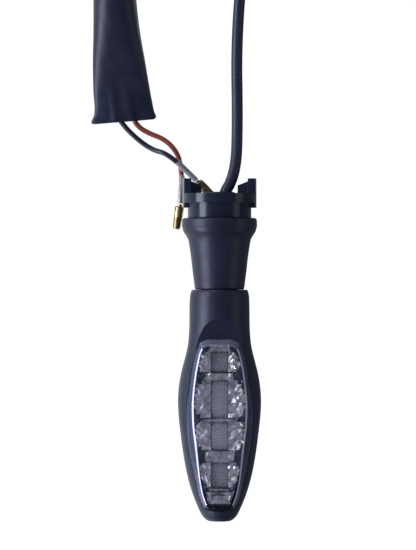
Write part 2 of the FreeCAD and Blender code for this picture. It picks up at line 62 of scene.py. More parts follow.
# Lights: name, place from the view's centre and size in metres, power in watts, colour. The key light
# leaves the reflector out, and the sparkle light is for the reflector alone.
LIGHTS = [("key", (-0.88, -0.12, 0.42), 1.8, 0.44, 36.0, (0.74, 0.79, 1.0)),
          ("back", (-0.25, 0.95, 0.45), 0.5, 0.3, 4.0, (0.85, 0.90, 1.0)),
          ("fill", (0.85, -0.1, 0.40), 1.4, 0.40, 2.5, (0.80, 0.80, 1.0)),
          ("sparkle", (-0.62, 0.10, 0.60), 0.10, 0.05, 1.1, (0.90, 0.92, 1.0))]
WORLD_COLOUR, FLOOR_COLOUR = (0.72, 0.80, 1.0, 1.0), (0.94, 0.97, 1.0, 1.0)
WORLD_LIGHT, FLOOR_GLOW, FLOOR_SIZE = 0.34, 0.95, 4.0

# Cord routes and sizes, as in the CAD
LEAD_FLOOR = -11.67
LEAD_ROUTE = [(0.0, -4.6, 0.0), (0.3, 4.6, 0.0), (6.0, 14.2, -1.2), (6.7, 34.0, -8.6),
              (6.2, 62.0, LEAD_FLOOR), (8.6, 94.0, LEAD_FLOOR), (8.8, 135.0, LEAD_FLOOR),
              (-38.2, 136.5, LEAD_FLOOR), (-38.6, 91.0, -8.2)]
LEAD_DIAMETER, LEAD_LENGTH = 4.16, 217.0
WIRE_FLOOR, FLAT_Z = -12.8, -12.2
BLACK_ROUTE = [(-39.8, 57.0, -9.0), (-39.3, 44.0, -11.2), (-38.4, 36.4, FLAT_Z), (-33.0, 29.6, WIRE_FLOOR),
               (-25.2, 23.4, WIRE_FLOOR), (-18.54, 21.75, -8.76), (-11.75, 15.16, -10.94)]
RED_ROUTE = [(-35.4, 57.0, -9.0), (-33.9, 44.0, -11.2), (-31.9, 34.4, FLAT_Z), (-28.4, 30.4, WIRE_FLOOR),
             (-18.4, 26.6, WIRE_FLOOR), (-13.448, 18.185, -12.681), (-14.16, 8.28, -12.25)]
WIRE_DIAMETER, WIRE_LENGTH = 1.9, 57.0
CORD_ROUNDNESS, CORD_STEPS = 6, 24
BLACK_EXIT, RED_EXIT = (-38.2, 35.6, -12.2), (-31.9, 34.8, -12.2)

# Insulators over the wires' ends, and the bullet terminals: (start, end) and (start, direction)
BLACK_SLEEVE = [(-15.6, 18.9, -9.7), (-8.6, 12.1, -11.95)]
RED_SLEEVE = [(-13.75, 14.0, -12.5), (-14.5, 3.6, -12.05)]
BLACK_TERMINAL = ((-8.35, 11.85, -12.05), (0.723, -0.691, 0.0))
RED_TERMINAL = ((-14.55, 3.25, -12.05), (-0.145, -0.989, 0.0))
INSULATOR_R, INSULATOR_BORE_R, INSULATOR_POINTS = 1.2, 1.02, 28
INSULATOR_STEPS, INSULATOR_WAVES, INSULATOR_SWELL, INSULATOR_NARROWING = 14, 1.5, 0.05, 0.06
# Bullet terminal: (distance from its neck, radius)
BULLET_SIDE = [(0.0, 0.9), (0.7, 0.9), (0.76, 1.5), (1.0, 1.66), (1.25, 1.7), (4.6, 1.7), (4.75, 1.6),
               (4.95, 1.58), (5.1, 1.62), (8.6, 1.42), (9.0, 1.3), (9.25, 1.0)]
BULLET_POINTS = 40

# Rubber stalk: (y, radius)
STALK_SIDE = [(-2.0, 11.9), (-2.03, 12.9), (-2.2, 13.35), (-2.6, 13.6), (-3.2, 13.68), (-5.3, 13.7),
              (-5.45, 13.55), (-6.2, 13.42), (-7.1, 13.1), (-8.4, 12.25), (-10.0, 11.45), (-13.7, 10.8),
              (-17.3, 10.3), (-21.0, 9.9), (-26.5, 9.2), (-27.7, 9.05), (-28.12, 8.8)]
STALK_STEP, BORE_STEP, STALK_POINTS, INNER_LEAD_POINTS = 0.4, 1.0, 128, 24
PLUG_R, PLUG_END = 6.7, -38.0
CLIP_GROOVE_R, CLIP_GROOVE_HIGH, CLIP_GROOVE_LOW = 5.2, -31.0, -34.2
STALK_BORE_R, SPIGOT_BORE_R, SPIGOT_END = 2.4, 7.45, -9.05
BEND_START, BEND_MIDDLE, BEND_END = -5.3, -16.6, -27.9
INNER_LEAD_ENDS = (-4.8, -38.6)
BASE_ROUNDING = 0.25

# Module sleeve: (y, full width, thickness, x of the centre, tilt in degrees, height of its underside)
SLEEVE = [(33.7, 22.9, 2.9, -35.35, 4.7, 0.0), (33.9, 23.8, 3.0, -35.35, 4.7, 0.0),
          (34.5, 24.2, 3.1, -35.3, 4.6, 0.0), (35.5, 23.4, 3.2, -35.2, 4.4, 0.0),
          (37.0, 22.2, 3.5, -35.15, 4.0, 0.0), (39.5, 21.5, 4.0, -35.3, 3.6, 0.0),
          (45.0, 20.9, 5.6, -36.0, 2.6, 0.0), (55.7, 19.3, 8.8, -36.95, 1.2, 0.0),
          (66.0, 17.3, 12.2, -37.7, 0.4, 0.0), (77.6, 15.9, 14.4, -38.35, 0.0, 0.0),
          (88.0, 15.5, 14.4, -38.6, 0.0, 0.1), (94.0, 9.6, 9.2, -38.6, 0.0, 1.2),
          (99.5, 5.4, 5.4, -38.53, 0.0, 2.2)]
SLEEVE_WALL, SLEEVE_FLATNESS, SLEEVE_STEPS, SLEEVE_POINTS = 0.45, 0.6, 90, 96
# Ridges over the two wires: two points on each one's line
SLEEVE_RIDGES = [((-38.4, 36.4), (-39.3, 44.0)), ((-31.9, 34.4), (-33.9, 44.0))]
RIDGE_HEIGHT, RIDGE_WIDTH, RIDGE_END = 0.55, 1.3, 52.0
# Creases: height, and for two crossing waves the radians per millimetre along and across the sleeve
SLEEVE_CREASE, CREASE_WAVES = 0.03, ((0.75, 0.35), (0.31, -0.9))

# Lens: (x, y) along one side of its rim and of its front facet, from the upper end to the lower
LENS_RIM = [(0.0, -46.2), (5.0, -46.4), (6.9, -47.2), (7.9, -49.0), (9.2, -52.7), (11.3, -64.0),
            (12.0, -70.0), (11.8, -77.6), (11.0, -85.3), (9.6, -93.3), (8.5, -98.0), (6.3, -105.8),
            (5.3, -107.6), (3.2, -108.4), (0.0, -108.6)]
LENS_FACET = [(0.0, -48.6), (4.4, -48.7), (6.0, -49.2), (6.8, -50.5), (7.7, -54.0), (9.2, -63.5),
              (9.65, -70.0), (9.4, -77.6), (8.45, -85.3), (7.7, -92.5), (7.1, -97.5), (5.3, -104.8),
              (4.6, -106.3), (2.8, -107.0), (0.0, -107.1)]
LENS_WALL, LENS_LOW, LENS_EDGE_Z, LENS_FRONT_Z = 1.4, 4.8, 7.3, 12.6
LENS_EDGE_STEP = 0.4
LENS_CLEARANCE = 0.03
LENS_TOP_Y = -50.0
LENS_MIDDLE = (0.0, -78.0)
# (share of the way from the rim to the facet, height above the straight bevel)
LENS_BEVEL = [(0.0, -0.5), (0.02, -0.15), (0.09, 0.0), (0.3, 0.0), (0.6, 0.0), (0.82, 0.0), (0.93, -0.04),
              (1.0, -0.26)]
# (distance in from the facet's edge, depth below the front)
LENS_FRONT = [(0.2, 0.08), (0.45, 0.0)]
# (sizes of the rings that fill the front, as shares of the facet)
LENS_FRONT_SIZES = [0.7, 0.3, 0.03]

# Reflector tray: (y of the upper edge, y of the lower edge) of each bowl
BOWLS = [(-50.4, -58.6), (-60.7, -75.3), (-75.9, -87.0), (-90.6, -100.6)]
TAIL_BOWL = (-101.4, -106.6)
TRAY_ENDS = (-48.1, -106.7)
TRAY_LOW, TRAY_TOP, TRAY_INSET = -3.0, 4.0, 2.1
WELL_HALF_W, WELL_MARGIN, WELL_Z = 3.15, 0.5, 2.5
FACET_LENGTH, FACET_COLUMNS, FACET_JITTER = 1.3, 5, 0.24
FACET_SWAY, FACET_SEED = 0.35, 7
BOWL_SHARE, BOWL_ROUNDING, BOWL_ROUNDNESS = 0.95, 0.32, 3
BOWL_SIDE_CURVE, BOWL_END_CURVE = 1.3, 6

# Light blocks in the bowls
BLOCK_HALF_W, BLOCK_LOW, BLOCK_TOP, BLOCK_MARGIN = 3.0, -1.6, 2.4, 0.55
BLOCK_FOOT_L, BLOCK_ROUNDING, BOARD_TOP = 1.0, 0.12, -3.8
RIB_PITCH, RIB_HEIGHT, RIB_POINTS = 1.25, 0.3, 4

# Clear plastic: how steeply its gloss grows towards grazing angles, and how far
GLOSS_CURVE, GLOSS_MOST = 4.5, 0.9


# ---------------------------------------------------------------- helpers

def metres(point):
    """A point in millimetres as a vector in metres."""
    return Vector(point) * MM


def new_object(name, data):
    """Put new data in the scene as an object."""
    obj = bpy.data.objects.new(name, data)
    bpy.context.scene.collection.objects.link(obj)
    return obj


def mesh_object(name, points, faces, smooth=True):
    """Mesh from points in millimetres."""
    mesh = bpy.data.meshes.new(name)
    mesh.from_pydata([metres(p) for p in points], [], faces)
    mesh.validate()
    work = bmesh.new()
    work.from_mesh(mesh)
    bmesh.ops.recalc_face_normals(work, faces=work.faces)
    work.to_mesh(mesh)
    work.free()
    if smooth:
        mesh.shade_smooth()
    return new_object(name, mesh)


def smooth_weights(t):
    """Weights of the start, its slope, the end and its slope, a share t of the way along a smooth span."""
    return 2 * t ** 3 - 3 * t ** 2 + 1, t ** 3 - 2 * t ** 2 + t, 3 * t ** 2 - 2 * t ** 3, t ** 3 - t ** 2


def smooth_table(table, y):
    """Values of a table of rows (y, a, b, ...) at one station, on a smooth curve through the rows."""
    rows = sorted(table)
    y = min(max(y, rows[0][0]), rows[-1][0])
    index = 0
    while index < len(rows) - 2 and y > rows[index + 1][0]:
        index += 1
    low, high = rows[index], rows[index + 1]
    before = rows[max(index - 1, 0)]
    after = rows[min(index + 2, len(rows) - 1)]
    span = high[0] - low[0]
    start, start_slope, end, end_slope = smooth_weights((y - low[0]) / span)
    values = []
    for k in range(1, len(low)):
        slope_low = (high[k] - before[k]) / (high[0] - before[0]) * span
        slope_high = (after[k] - low[k]) / (after[0] - low[0]) * span
        values.append(start * low[k] + start_slope * slope_low + end * high[k] + end_slope * slope_high)
    return values


def ring_faces(ring_count, size, closed_loop):
    """Quads between successive rings of the same size; a closed loop joins the last ring to the first."""
    faces = []
    last = ring_count if closed_loop else ring_count - 1
    for i in range(last):
        a, b = i * size, (i + 1) % ring_count * size
        for k in range(size):
            n = (k + 1) % size
            faces.append((a + k, a + n, b + n, b + k))
    return faces


def rings_object(name, rings, closed_loop=False, smooth=True):
    """Closed mesh through rings of points; the ends are capped unless the rings form a closed loop."""
    size = len(rings[0])
    points = [p for ring in rings for p in ring]
    faces = ring_faces(len(rings), size, closed_loop)
    if not closed_loop:
        faces.append(tuple(range(size)))
        faces.append(tuple(range(len(points) - size, len(points))))
    return mesh_object(name, points, faces, smooth)


def sharpen(obj, degrees):
    """Shade smooth, with hard edges where faces meet at more than this angle."""
    bpy.context.view_layer.objects.active = obj
    for other in bpy.context.selected_objects:
        other.select_set(False)
    obj.select_set(True)
    bpy.ops.object.shade_smooth_by_angle(angle=math.radians(degrees))
    obj.select_set(False)


def apply_modifiers(obj):
    """Turn the object's modifiers into plain mesh."""
    graph = bpy.context.evaluated_depsgraph_get()
    graph.update()
    mesh = bpy.data.meshes.new_from_object(obj.evaluated_get(graph))
    obj.modifiers.clear()
    obj.data = mesh


# ---------------------------------------------------------------- materials

def link(tree, source, target):
    """Join two sockets."""
    tree.links.new(source, target)


def surface(name, colour, roughness, metallic=0.0, specular=0.5):
    """New principled material; returns it with its tree and shader."""
    material = bpy.data.materials.new(name)
    material.use_nodes = True
    tree = material.node_tree
    shader = tree.nodes["Principled BSDF"]
    shader.inputs["Base Color"].default_value = (*colour, 1.0)
    shader.inputs["Roughness"].default_value = roughness
    shader.inputs["Metallic"].default_value = metallic
    shader.inputs["Specular IOR Level"].default_value = specular
    return material, tree, shader


def noise(tree, scale, detail=4.0, roughness=0.5):
    """Noise in object space; scale is in features per metre."""
    coordinates = tree.nodes.new("ShaderNodeTexCoord")
    texture = tree.nodes.new("ShaderNodeTexNoise")
    texture.inputs["Scale"].default_value = scale
    texture.inputs["Detail"].default_value = detail
    texture.inputs["Roughness"].default_value = roughness
    link(tree, coordinates.outputs["Object"], texture.inputs["Vector"])
    return texture.outputs["Fac"]


def remap(tree, value, low, high, out_low, out_high):
    """Value from one range to another, clamped."""
    node = tree.nodes.new("ShaderNodeMapRange")
    for socket, number in (("From Min", low), ("From Max", high), ("To Min", out_low), ("To Max", out_high)):
        node.inputs[socket].default_value = number
    link(tree, value, node.inputs["Value"])
    return node.outputs["Result"]


def bump(tree, shader, height, strength, distance):
    """Bump from a height value; distance is in metres."""
    node = tree.nodes.new("ShaderNodeBump")
    node.inputs["Strength"].default_value = strength
    node.inputs["Distance"].default_value = distance
    link(tree, height, node.inputs["Height"])
    link(tree, node.outputs["Normal"], shader.inputs["Normal"])
    return node


def tint(tree, shader, value, dark, light):
    """Base colour between two colours by a value."""
    node = tree.nodes.new("ShaderNodeMix")
    node.data_type = "RGBA"
    node.inputs["A"].default_value = (*dark, 1.0)
    node.inputs["B"].default_value = (*light, 1.0)
    link(tree, value, node.inputs["Factor"])
    link(tree, node.outputs["Result"], shader.inputs["Base Color"])


def uneven(tree, shader, scale, detail, rough_low, rough_high):
    """Roughness that wanders between two values."""
    link(tree, remap(tree, noise(tree, scale, detail), 0.3, 0.7, rough_low, rough_high),
         shader.inputs["Roughness"])


def grained(name, dark, light, rough_low, rough_high, grain_scale, grain_height):
    """Moulded plastic or rubber: fine grain, slow colour drift and uneven sheen."""
    material, tree, shader = surface(name, light, rough_high, specular=0.22)
    tint(tree, shader, remap(tree, noise(tree, 60.0), 0.35, 0.65, 0.0, 1.0), dark, light)
    uneven(tree, shader, 180.0, 6.0, rough_low, rough_high)
    bump(tree, shader, noise(tree, grain_scale, 3.0, 0.6), 0.6, grain_height)
    return material


def metal(name, dark, light, rough_low, rough_high):
    """Worn metal: stained colour and uneven polish."""
    material, tree, shader = surface(name, light, rough_low, metallic=1.0)
    tint(tree, shader, remap(tree, noise(tree, 500.0, 6.0), 0.35, 0.65, 0.0, 1.0), dark, light)
    uneven(tree, shader, 900.0, 4.0, rough_low, rough_high)
    bump(tree, shader, noise(tree, 2500.0, 2.0), 0.25, 0.00004)
    return material


def clear_plastic(name, colour, roughness, clearness, haze, ripple=0.00001):
    """Thin clear plastic: see-through, hazy by a least share, and glossier at grazing angles."""
    material, tree, shader = surface(name, colour, roughness)
    through = tree.nodes.new("ShaderNodeBsdfTransparent")
    through.inputs["Color"].default_value = (*clearness, 1.0)
    facing = tree.nodes.new("ShaderNodeLayerWeight")
    facing.inputs["Blend"].default_value = 0.5
    steep = tree.nodes.new("ShaderNodeMath")
    steep.operation = "POWER"
    steep.inputs[1].default_value = GLOSS_CURVE
    link(tree, facing.outputs["Facing"], steep.inputs[0])
    share = remap(tree, steep.outputs["Value"], 0.0, 1.0, haze, GLOSS_MOST)
    link(tree, remap(tree, noise(tree, 400.0, 5.0), 0.35, 0.65, roughness * 0.7, roughness * 1.4),
         shader.inputs["Roughness"])
    bump(tree, shader, noise(tree, 300.0, 2.0), 0.3, ripple)
    mix = tree.nodes.new("ShaderNodeMixShader")
    link(tree, share, mix.inputs["Fac"])
    link(tree, through.outputs["BSDF"], mix.inputs[1])
    link(tree, shader.outputs["BSDF"], mix.inputs[2])
    link(tree, mix.outputs["Shader"], tree.nodes["Material Output"].inputs["Surface"])
    return material


def paint_bands(obj, size, bands, material, wanted):
    """Give a further material to the wanted faces in some of the bands between an object's rings."""
    obj.data.materials.append(material)
    for band in bands:
        for k in range(size):
            polygon = obj.data.polygons[band * size + k]
            if wanted(polygon, obj.data.vertices):
                polygon.material_index = len(obj.data.materials) - 1


def runs_lengthwise(polygon, vertices):
    """Whether a face of the lens lies along its sides."""
    edge = vertices[polygon.vertices[1]].co - vertices[polygon.vertices[0]].co
    return abs(edge.y) > 1.5 * abs(edge.x)


def at_upper_end(polygon, vertices):
    """Whether a face of the lens is at its upper end."""
    return polygon.center.y > LENS_TOP_Y * MM and not runs_lengthwise(polygon, vertices)


def make_materials():
    """Every material, by the name of the thing it is for."""
    return {
        "housing": grained("housing_plastic", (0.005, 0.006, 0.014), (0.009, 0.011, 0.022), 0.36, 0.46,
                           2600.0, 0.00005),
        "base": grained("base_plastic", (0.005, 0.006, 0.013), (0.009, 0.011, 0.022), 0.15, 0.26, 1200.0,
                        0.00002),
        "stalk": grained("stalk_rubber", (0.005, 0.006, 0.014), (0.009, 0.0105, 0.022), 0.36, 0.48, 1800.0,
                         0.00003),
        "boot": grained("boot_rubber", (0.004, 0.004, 0.007), (0.007, 0.007, 0.011), 0.5, 0.65, 1500.0,
                        0.00003),
        "cable": grained("cable_pvc", (0.008, 0.009, 0.018), (0.013, 0.015, 0.026), 0.34, 0.48, 700.0,
                         0.00003),
        "shrink": grained("shrink_sleeve", (0.004, 0.005, 0.011), (0.008, 0.010, 0.020), 0.34, 0.48, 900.0,
                          0.00004),
        "wire_black": grained("wire_black", (0.006, 0.007, 0.013), (0.010, 0.011, 0.018), 0.3, 0.45, 900.0,
                              0.00002),
        "wire_red": grained("wire_red", (0.11, 0.020, 0.012), (0.18, 0.036, 0.018), 0.35, 0.5, 900.0,
                            0.00002),
        "seal": grained("seal_rubber", (0.004, 0.004, 0.005), (0.007, 0.007, 0.008), 0.6, 0.75, 1500.0,
                        0.00003),
        "board": grained("board_laminate", (0.01, 0.05, 0.02), (0.02, 0.09, 0.04), 0.3, 0.45, 1500.0,
                         0.00002),
        "component": grained("component_body", (0.012, 0.012, 0.014), (0.02, 0.02, 0.022), 0.4, 0.55, 1500.0,
                             0.00002),
        "resistor": grained("resistor_body", (0.30, 0.24, 0.17), (0.42, 0.34, 0.25), 0.4, 0.55, 900.0,
                            0.00003),
        "led": grained("led_package", (0.10, 0.07, 0.04), (0.16, 0.11, 0.06), 0.2, 0.35, 900.0, 0.00002),
        "capacitor": metal("capacitor_can", (0.36, 0.37, 0.40), (0.52, 0.53, 0.56), 0.3, 0.45),
        "steel": metal("plated_steel", (0.40, 0.40, 0.42), (0.58, 0.58, 0.60), 0.25, 0.45),
        # Darker copy of the brass: painted shade on the black wire's terminal.
        "brass_painted_shade": metal("brass_painted_shade", (0.06, 0.045, 0.03), (0.22, 0.16, 0.09), 0.3, 0.5),
        "brass": metal("brass_terminal", (0.16, 0.10, 0.05), (0.42, 0.30, 0.15), 0.22, 0.42),
        "reflector": metal("reflector_metal", (0.42, 0.40, 0.42), (0.90, 0.86, 0.88), 0.20, 0.40),
        "lens": clear_plastic("lens_clear", (0.02, 0.02, 0.03), 0.05, (0.975, 0.975, 0.98), 0.05),
        # Darker copy of the reflector metal: painted shade on the tray between the bowls.
        "tray_painted_shade": metal("tray_painted_shade", (0.05, 0.055, 0.08), (0.16, 0.17, 0.22), 0.2, 0.4),
        # Hazed copies of the clear lens for bands on its edges: the upper end's band and the edge bands are
        # painted highlight, and the side walls' bands are a painted bluish reflection.
        "lens_top_painted_highlight": clear_plastic("lens_top_painted_highlight", (0.30, 0.30, 0.36), 0.2, (0.95, 0.95, 0.97), 0.28),
        "lens_side_painted_reflection": clear_plastic("lens_side_painted_reflection", (0.15, 0.17, 0.27), 0.14, (0.96, 0.96, 0.98), 0.12),
        "lens_edge_painted_highlight": clear_plastic("lens_edge_painted_highlight", (0.78, 0.76, 0.86), 0.16, (0.95, 0.95, 0.97), 0.52),
        "insulator": clear_plastic("insulator_clear", (0.55, 0.55, 0.56), 0.12, (0.92, 0.92, 0.93), 0.16),
        "light_block": clear_plastic("light_block_clear", (0.66, 0.62, 0.66), 0.25, (0.96, 0.96, 0.97), 0.34,
                                     0.00004),
    }


# What each CAD node is painted with
NODE_MATERIALS = {
    "mount_base": "base", "cable_boot": "boot", "lead_cable": "cable", "rubber_stalk": "stalk",
    "inner_lead": "cable", "head_housing": "housing", "stalk_clip": "steel", "lens": "lens",
    "lens_seal": "seal", "reflector": "reflector", "circuit_board": "board", "board_resistor_1": "component",
    "board_resistor_2": "component", "board_resistor_3": "component", "board_diode": "component",
    "board_regulator": "component", "board_wire_red": "wire_red", "board_wire_black": "wire_black",
    "module_sleeve": "shrink", "module_board": "board", "module_resistor_1": "resistor",
    "module_resistor_2": "resistor", "module_capacitor": "capacitor", "module_chip": "component",
    "black_wire": "wire_black", "red_wire": "wire_red", "insulator_black": "insulator",
    "insulator_red": "insulator", "crimp_black": "brass", "crimp_red": "brass", "bullet_black": "brass",
    "bullet_red": "brass", "led_1": "led", "led_2": "led", "led_3": "led", "led_4": "led",
    "light_block_1": "light_block", "light_block_2": "light_block", "light_block_3": "light_block",
    "light_block_4": "light_block", "board_screw_1": "steel", "board_screw_2": "steel",
}


def paint(obj, material):
    """Give an object one material."""
    obj.data.materials.clear()
    obj.data.materials.append(material)


# ---------------------------------------------------------------- cords

def make_cord(name, route, diameter, material):
    """Round cord on one smooth spline with the route's points as control points."""
    curve = bpy.data.curves.new(name, "CURVE")
    curve.dimensions = "3D"
    curve.bevel_depth = diameter / 2 * MM
    curve.bevel_resolution = CORD_ROUNDNESS
    curve.resolution_u = CORD_STEPS
    curve.use_fill_caps = True
    spline = curve.splines.new("NURBS")
    spline.points.add(len(route) - 1)
    for point, place in zip(spline.points, route):
        point.co = (*metres(place), 1.0)
    spline.order_u = 3
    spline.use_endpoint_u = True
    curve.materials.append(material)
    return new_object(name, curve)


def make_cords(materials):
    """The lead and the two wires, with the pieces on them."""
    lead = make_cord("lead", LEAD_ROUTE, LEAD_DIAMETER, materials["cable"])
    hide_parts("lead_cable")
    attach(lead, "base")
    sleeve = make_module_sleeve(materials)
    ends = (("black", BLACK_ROUTE, BLACK_EXIT, BLACK_SLEEVE, BLACK_TERMINAL),
            ("red", RED_ROUTE, RED_EXIT, RED_SLEEVE, RED_TERMINAL))
    for colour, route, exit_point, insulator_ends, terminal in ends:
        wire = make_cord("wire_" + colour, route, WIRE_DIAMETER, materials["wire_" + colour])
        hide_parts(colour + "_wire")
        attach(wire, "base")
        insulator = make_insulator(colour, insulator_ends, materials)
        bullet = make_bullet(colour, terminal, materials)


def axis_frame(direction):
    """Unit axis and two directions at right angles to it."""
    axis = Vector(direction).normalized()
    side = axis.cross(Vector((0, 0, 1))).normalized()
    return axis, side, axis.cross(side)


def turned_rings(start, direction, profile, count):
    """Rings of points about an axis; profile is (distance, radius) pairs."""
    axis, side, up = axis_frame(direction)
    origin = Vector(start)
    turns = [(math.cos(TAU * k / count), math.sin(TAU * k / count)) for k in range(count)]
    rings = []
    for distance, radius in profile:
        centre = origin + axis * distance
        rings.append([centre + side * (radius * cosine) + up * (radius * sine) for cosine, sine in turns])
    return rings


def make_bullet(colour, terminal, materials):
    """Bullet terminal with its groove and rounded nose; the black wire's has darker brass, as painted shade.
    """
    start, direction = terminal
    rings = turned_rings(start, direction, BULLET_SIDE, BULLET_POINTS)
    bullet = rings_object("terminal_" + colour, rings)
    sharpen(bullet, 30)
    # The black wire's terminal gets the darker brass: painted shade.
    paint(bullet, materials["brass" if colour == "red" else "brass_painted_shade"])
    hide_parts("bullet_" + colour)
    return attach(bullet, "base")


def make_insulator(colour, ends, materials):
    """Clear sleeve, a little uneven along its length and open at both ends."""
    start, end = Vector(ends[0]), Vector(ends[1])
    length = (end - start).length
    outer, inner = [], []
    for i in range(INSULATOR_STEPS + 1):
        share = i / INSULATOR_STEPS
        distance = length * share
        swell = INSULATOR_SWELL * math.sin(TAU * INSULATOR_WAVES * share) - INSULATOR_NARROWING
        outer.append((distance, INSULATOR_R + swell))
        inner.append((distance, INSULATOR_BORE_R))
    profile = outer + list(reversed(inner))
    rings = turned_rings(start, end - start, profile, INSULATOR_POINTS)
    sleeve = rings_object("clear_sleeve_" + colour, rings, closed_loop=True)
    sharpen(sleeve, 40)
    paint(sleeve, materials["insulator"])
    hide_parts("insulator_" + colour)
    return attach(sleeve, "base")


def signed_power(value, power):
    """Power of a number that keeps its sign."""
    return math.copysign(abs(value) ** power, value)


def crease(x, y):
    """Height of the sleeve's shallow creases."""
    height = SLEEVE_CREASE
    for along, across in CREASE_WAVES:
        height *= math.sin(along * y + across * x)
    return height


def sleeve_ring(y, shrink):
    """Flattened ring of the module's sleeve, with ridges over the wires and creases."""
    width, thickness, centre_x, tilt, lift = smooth_table(SLEEVE, y)
    centre_z = FLOOR_Z + lift + thickness / 2
    roundness = SLEEVE_FLATNESS + (1 - SLEEVE_FLATNESS) * thickness / width
    slope = math.radians(tilt)
    ring = []
    for k in range(SLEEVE_POINTS):
        angle = TAU * k / SLEEVE_POINTS
        across = (width / 2 - shrink) * signed_power(math.cos(angle), roundness)
        up = (thickness / 2 - shrink) * signed_power(math.sin(angle), roundness)
        x, place = centre_x + across * math.cos(slope), y + across * math.sin(slope)
        if up > 0:
            up += ridge_height(x, place) * min(1.0, up / (thickness / 2 - shrink)) + crease(x, place)
        ring.append((x, place, centre_z + up))
    return ring


def ridge_height(x, y):
    """Height of the sleeve's ridges where it clings to the two wires near its open end."""
    fade = min(max((RIDGE_END - y) / (RIDGE_END - SLEEVE[0][0]), 0.0), 1.0)
    height = 0.0
    for (x0, y0), (x1, y1) in SLEEVE_RIDGES:
        middle = x0 + (x1 - x0) * (y - y0) / (y1 - y0)
        height += RIDGE_HEIGHT * fade * math.exp(-((x - middle) / RIDGE_WIDTH) ** 2)
    return height


def make_module_sleeve(materials):
    """Shrink sleeve over the module: a thin skin, open at the wires' end."""
    low, high = SLEEVE[0][0], SLEEVE[-1][0]
    heights = [low + (high - low) * i / SLEEVE_STEPS for i in range(SLEEVE_STEPS + 1)]
    outer = [sleeve_ring(y, 0.0) for y in heights]
    inner = [sleeve_ring(y, SLEEVE_WALL) for y in reversed(heights)]
    sleeve = rings_object("module_skin", outer + inner, closed_loop=True)
    sharpen(sleeve, 50)
    paint(sleeve, materials["shrink"])
    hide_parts("module_sleeve")
    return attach(sleeve, "base")


# ---------------------------------------------------------------- stalk

def stalk_half(name, outer, inner, materials):
    """Half of the stalk as a closed solid ring."""
    rings = turned_rings((0, 0, 0), (0, 1, 0), outer + list(reversed(inner)), STALK_POINTS)
    half = rings_object(name, rings, closed_loop=True)
    sharpen(half, 40)
    paint(half, materials["stalk"])
    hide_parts("rubber_stalk")
    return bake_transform(half)


def stations(high, low, step):
    """Evenly spaced heights from high down to low."""
    count = max(1, round((high - low) / step))
    return [high + (low - high) * i / count for i in range(count + 1)]


def stalk_outside(high, low):
    """The stalk's outside at evenly spaced heights and at its own corners, from high down to low."""
    heights = stations(high, low, STALK_STEP) + [y for y, radius in STALK_SIDE if low < y < high]
    return [(y, smooth_table(STALK_SIDE, y)[0]) for y in sorted(set(heights), reverse=True)]


def make_stalk(materials):
    """Rubber stalk in two halves that meet where the bend changes from one hinge to the next."""
    top, bottom = STALK_SIDE[0][0], STALK_SIDE[-1][0]
    lower_inner = [(top, SPIGOT_BORE_R), (SPIGOT_END, SPIGOT_BORE_R)]
    lower_inner += [(y, STALK_BORE_R) for y in stations(SPIGOT_END, BEND_MIDDLE, BORE_STEP)]
    stalk_half("stalk_root", stalk_outside(top, BEND_MIDDLE), lower_inner,
               materials)
    upper_outer = stalk_outside(BEND_MIDDLE, bottom)
    upper_outer += [(bottom, PLUG_R), (CLIP_GROOVE_HIGH, PLUG_R), (CLIP_GROOVE_HIGH, CLIP_GROOVE_R),
                    (CLIP_GROOVE_LOW, CLIP_GROOVE_R), (CLIP_GROOVE_LOW, PLUG_R), (PLUG_END, PLUG_R)]
    upper_inner = [(y, STALK_BORE_R) for y in stations(BEND_MIDDLE, PLUG_END, BORE_STEP)]
    stalk_half("stalk_end", upper_outer, upper_inner, materials)


def make_inner_lead(materials):
    """The lead's last stretch inside the stalk, in two halves."""
    halves = (("lead_root", INNER_LEAD_ENDS[0], BEND_MIDDLE, "base", "stalk", BEND_START, BEND_MIDDLE),
              ("lead_end", BEND_MIDDLE, INNER_LEAD_ENDS[1], "stalk", "head", BEND_MIDDLE, BEND_END))
    for name, high, low, above, below, start, end in halves:
        profile = [(y, LEAD_DIAMETER / 2) for y in stations(high, low, BORE_STEP)]
        half = rings_object(name, turned_rings((0, 0, 0), (0, 1, 0), profile, INNER_LEAD_POINTS))
        sharpen(half, 50)
        paint(half, materials["cable"])
        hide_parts("inner_lead")
        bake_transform(half)


# ---------------------------------------------------------------- base and lamp

def make_base(materials):
    """Mounting base from the CAD shape, with its moulded edges rounded."""
    mesh = NODES["mount_base"].data.copy()
    work = bmesh.new()
    work.from_mesh(mesh)
    bmesh.ops.remove_doubles(work, verts=work.verts, dist=TOLERANCE * MM)
    bmesh.ops.dissolve_limit(work, angle_limit=math.radians(1.0), verts=work.verts, edges=work.edges)
    work.to_mesh(mesh)
    work.free()
    base = new_object("base_body", mesh)
    rounding = base.modifiers.new("rounding", "BEVEL")
    rounding.width = BASE_ROUNDING * MM
    rounding.segments = 3
    rounding.angle_limit = math.radians(30)
    apply_modifiers(base)
    sharpen(base, 35)
    paint(base, materials["base"])
    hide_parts("mount_base")
    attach(base, "base")


def closed_outline(side, inset, per_span=6):
    """Smooth closed outline through one side's points and their mirror images, drawn in by the inset."""
    loop = [Vector(p) for p in side + [(-x, y) for x, y in reversed(side[1:-1])]]
    count = len(loop)
    slopes = []
    for k in range(count):
        one, two = loop[k] - loop[k - 1], loop[(k + 1) % count] - loop[k]
        weighted = one / one.length * two.length + two / two.length * one.length
        slopes.append(weighted / (one.length + two.length))
    points = []
    for k in range(count):
        n = (k + 1) % count
        length = (loop[n] - loop[k]).length
        for step in range(per_span):
            start, start_slope, end, end_slope = smooth_weights(step / per_span)
            points.append(start * loop[k] + start_slope * length * slopes[k]
                          + end * loop[n] + end_slope * length * slopes[n])
    drawn = []
    for k, point in enumerate(points):
        along = (points[(k + 1) % len(points)] - points[k - 1]).normalized()
        drawn.append(point + inset * Vector((along.y, -along.x)))
    return drawn


